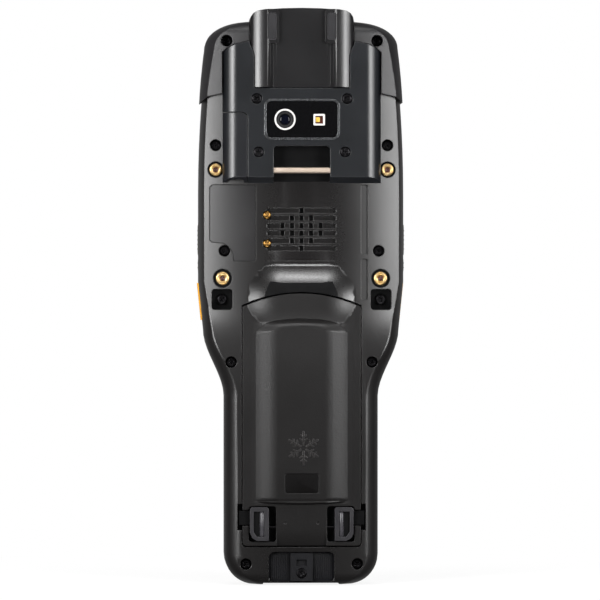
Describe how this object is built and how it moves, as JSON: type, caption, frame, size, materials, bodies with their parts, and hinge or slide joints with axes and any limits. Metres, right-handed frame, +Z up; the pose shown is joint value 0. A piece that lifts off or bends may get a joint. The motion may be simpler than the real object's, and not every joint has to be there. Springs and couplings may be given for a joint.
{
  "type": "barcode data terminal",
  "caption": "Rugged upright handheld terminal: keypad grip, touch display head, corner bumper, camera module, scan hood and a swing-out battery pack with side latches.",
  "frame": {"origin": "middle of the flat bottom end, at the centre of the part's width and depth", "axes": "+Z up the length towards the scan hood, -Y out of the battery side, +Y out of the keypad side, +X to the right as the battery side is looked at"},
  "size_m": [0.0774, 0.032, 0.2147],
  "materials": {
    "rear_shell": "fine grain, dark warm grey",
    "front_shell": "fine grain, dark grey",
    "amber_trim": "smooth amber",
    "bumper_rubber": "satin dark grey",
    "hood_shell": "satin dark grey",
    "pad_rubber": "matte",
    "scan_glass": "deep red filter glass",
    "engine_metal": "black",
    "module_shell": "fine grain, bluish dark grey",
    "black_screw": "black oxide",
    "bezel_metal": "bright rim",
    "window_black": "polished black",
    "white_print": "white",
    "camera_black": "black",
    "lamp_amber": "amber phosphor",
    "bar_steel": "bright bar",
    "door_shell": "fine grain, dark grey",
    "shield_metal": "tinned",
    "label_film": "blank film",
    "insert_brass": "turned",
    "contact_gold": "plated",
    "speaker_black": "black cloth",
    "board_green": "solder mask",
    "connector_black": "black",
    "anchor_plastic": "dark grey",
    "touch_glass": "black cover glass",
    "panel_grey": "panel",
    "battery_shell": "fine grain, dark warm grey",
    "cell_wrap": "blue wrap",
    "rod_steel": "ground",
    "latch_plastic": "satin dark grey",
    "button_rubber": "black",
    "key_light": "black key, light digit",
    "key_amber": "amber"
  },
  "bodies": {
    "terminal": {"rear_housing": "rear_shell", "front_housing": "front_shell", "accent_trims": "amber_trim", "top_bumper": "bumper_rubber", "scanner_hood": "hood_shell", "hood_pads": "pad_rubber", "scanner_window": "scan_glass", "scan_engine": "engine_metal", "module_cover": "module_shell", "module_screws": "black_screw", "window_bezel": "bezel_metal", "camera_window": "window_black", "lens_ring": "white_print", "camera_unit": "camera_black", "flash_frame": "white_print", "flash_lamp": "lamp_amber", "strap_bar": "bar_steel", "card_socket": "shield_metal", "label_plate": "label_film", "upper_inserts": "insert_brass", "lower_inserts": "insert_brass", "housing_screws": "black_screw", "accessory_contacts": "contact_gold", "speaker": "speaker_black", "main_board": "board_green", "battery_connector": "connector_black", "strap_block": "anchor_plastic", "strap_block_screw": "black_screw", "dock_connector": "connector_black", "side_switches": "shield_metal", "display_glass": "touch_glass", "display_panel": "panel_grey", "keypad_board": "board_green"},
    "battery": {"battery_case": "battery_shell", "battery_cell": "cell_wrap", "battery_contacts": "contact_gold", "latch_rod": "rod_steel"},
    "latch_left": {"latch_left": "latch_plastic"},
    "latch_right": {"latch_right": "latch_plastic"},
    "card_door": {"card_door": "door_shell"},
    "trigger_left": {"trigger_left": "button_rubber"},
    "trigger_right": {"trigger_right": "button_rubber"},
    "aux_left": {"aux_left": "button_rubber"},
    "aux_right": {"aux_right": "button_rubber"},
    "key_scan": {"key_scan": "key_amber"},
    "key_left": {"key_left": "key_light"},
    "key_right": {"key_right": "key_light"},
    "key_1": {"key_1": "key_light"},
    "key_2": {"key_2": "key_light"},
    "key_3": {"key_3": "key_light"},
    "key_4": {"key_4": "key_light"},
    "key_5": {"key_5": "key_light"},
    "key_6": {"key_6": "key_light"},
    "key_7": {"key_7": "key_light"},
    "key_8": {"key_8": "key_light"},
    "key_9": {"key_9": "key_light"},
    "key_star": {"key_star": "key_light"},
    "key_0": {"key_0": "key_light"},
    "key_hash": {"key_hash": "key_light"}
  },
  "joints": [
    {"name": "battery_swing", "type": "hinge", "parent": "terminal", "child": "battery", "pos_m": [0, -0.0109, 0.1085], "axis": [-1, 0, 0], "range_deg": [0, 18]},
    {"name": "latch_left_slide", "type": "slide", "parent": "battery", "child": "latch_left", "axis": [1, 0, 0], "range_m": [0, 0.0023], "stiffness_N_per_m": 200, "springref_m": -0.004},
    {"name": "latch_right_slide", "type": "slide", "parent": "battery", "child": "latch_right", "axis": [-1, 0, 0], "range_m": [0, 0.0023], "stiffness_N_per_m": 200, "springref_m": -0.004},
    {"name": "card_door_slide", "type": "slide", "parent": "terminal", "child": "card_door", "axis": [0, 0, -1], "range_m": [0, 0.022]},
    {"name": "trigger_left_press", "type": "slide", "parent": "terminal", "child": "trigger_left", "axis": [1, 0, 0], "range_m": [0, 0.0005], "stiffness_N_per_m": 600, "springref_m": -0.002},
    {"name": "trigger_right_press", "type": "slide", "parent": "terminal", "child": "trigger_right", "axis": [-1, 0, 0], "range_m": [0, 0.0005], "stiffness_N_per_m": 600, "springref_m": -0.002},
    {"name": "aux_left_press", "type": "slide", "parent": "terminal", "child": "aux_left", "axis": [1, 0, 0], "range_m": [0, 0.0005], "stiffness_N_per_m": 600, "springref_m": -0.002},
    {"name": "aux_right_press", "type": "slide", "parent": "terminal", "child": "aux_right", "axis": [-1, 0, 0], "range_m": [0, 0.0005], "stiffness_N_per_m": 600, "springref_m": -0.002},
    {"name": "key_scan_press", "type": "slide", "parent": "terminal", "child": "key_scan", "axis": [0, -1, 0], "range_m": [0, 0.0006], "stiffness_N_per_m": 300, "springref_m": -0.002},
    {"name": "key_left_press", "type": "slide", "parent": "terminal", "child": "key_left", "axis": [0, -1, 0], "range_m": [0, 0.0006], "stiffness_N_per_m": 300, "springref_m": -0.002},
    {"name": "key_right_press", "type": "slide", "parent": "terminal", "child": "key_right", "axis": [0, -1, 0], "range_m": [0, 0.0006], "stiffness_N_per_m": 300, "springref_m": -0.002},
    {"name": "key_1_press", "type": "slide", "parent": "terminal", "child": "key_1", "axis": [0, -1, 0], "range_m": [0, 0.0006], "stiffness_N_per_m": 300, "springref_m": -0.002},
    {"name": "key_2_press", "type": "slide", "parent": "terminal", "child": "key_2", "axis": [0, -1, 0], "range_m": [0, 0.0006], "stiffness_N_per_m": 300, "springref_m": -0.002},
    {"name": "key_3_press", "type": "slide", "parent": "terminal", "child": "key_3", "axis": [0, -1, 0], "range_m": [0, 0.0006], "stiffness_N_per_m": 300, "springref_m": -0.002},
    {"name": "key_4_press", "type": "slide", "parent": "terminal", "child": "key_4", "axis": [0, -1, 0], "range_m": [0, 0.0006], "stiffness_N_per_m": 300, "springref_m": -0.002},
    {"name": "key_5_press", "type": "slide", "parent": "terminal", "child": "key_5", "axis": [0, -1, 0], "range_m": [0, 0.0006], "stiffness_N_per_m": 300, "springref_m": -0.002},
    {"name": "key_6_press", "type": "slide", "parent": "terminal", "child": "key_6", "axis": [0, -1, 0], "range_m": [0, 0.0006], "stiffness_N_per_m": 300, "springref_m": -0.002},
    {"name": "key_7_press", "type": "slide", "parent": "terminal", "child": "key_7", "axis": [0, -1, 0], "range_m": [0, 0.0006], "stiffness_N_per_m": 300, "springref_m": -0.002},
    {"name": "key_8_press", "type": "slide", "parent": "terminal", "child": "key_8", "axis": [0, -1, 0], "range_m": [0, 0.0006], "stiffness_N_per_m": 300, "springref_m": -0.002},
    {"name": "key_9_press", "type": "slide", "parent": "terminal", "child": "key_9", "axis": [0, -1, 0], "range_m": [0, 0.0006], "stiffness_N_per_m": 300, "springref_m": -0.002},
    {"name": "key_star_press", "type": "slide", "parent": "terminal", "child": "key_star", "axis": [0, -1, 0], "range_m": [0, 0.0006], "stiffness_N_per_m": 300, "springref_m": -0.002},
    {"name": "key_0_press", "type": "slide", "parent": "terminal", "child": "key_0", "axis": [0, -1, 0], "range_m": [0, 0.0006], "stiffness_N_per_m": 300, "springref_m": -0.002},
    {"name": "key_hash_press", "type": "slide", "parent": "terminal", "child": "key_hash", "axis": [0, -1, 0], "range_m": [0, 0.0006], "stiffness_N_per_m": 300, "springref_m": -0.002}
  ]
}
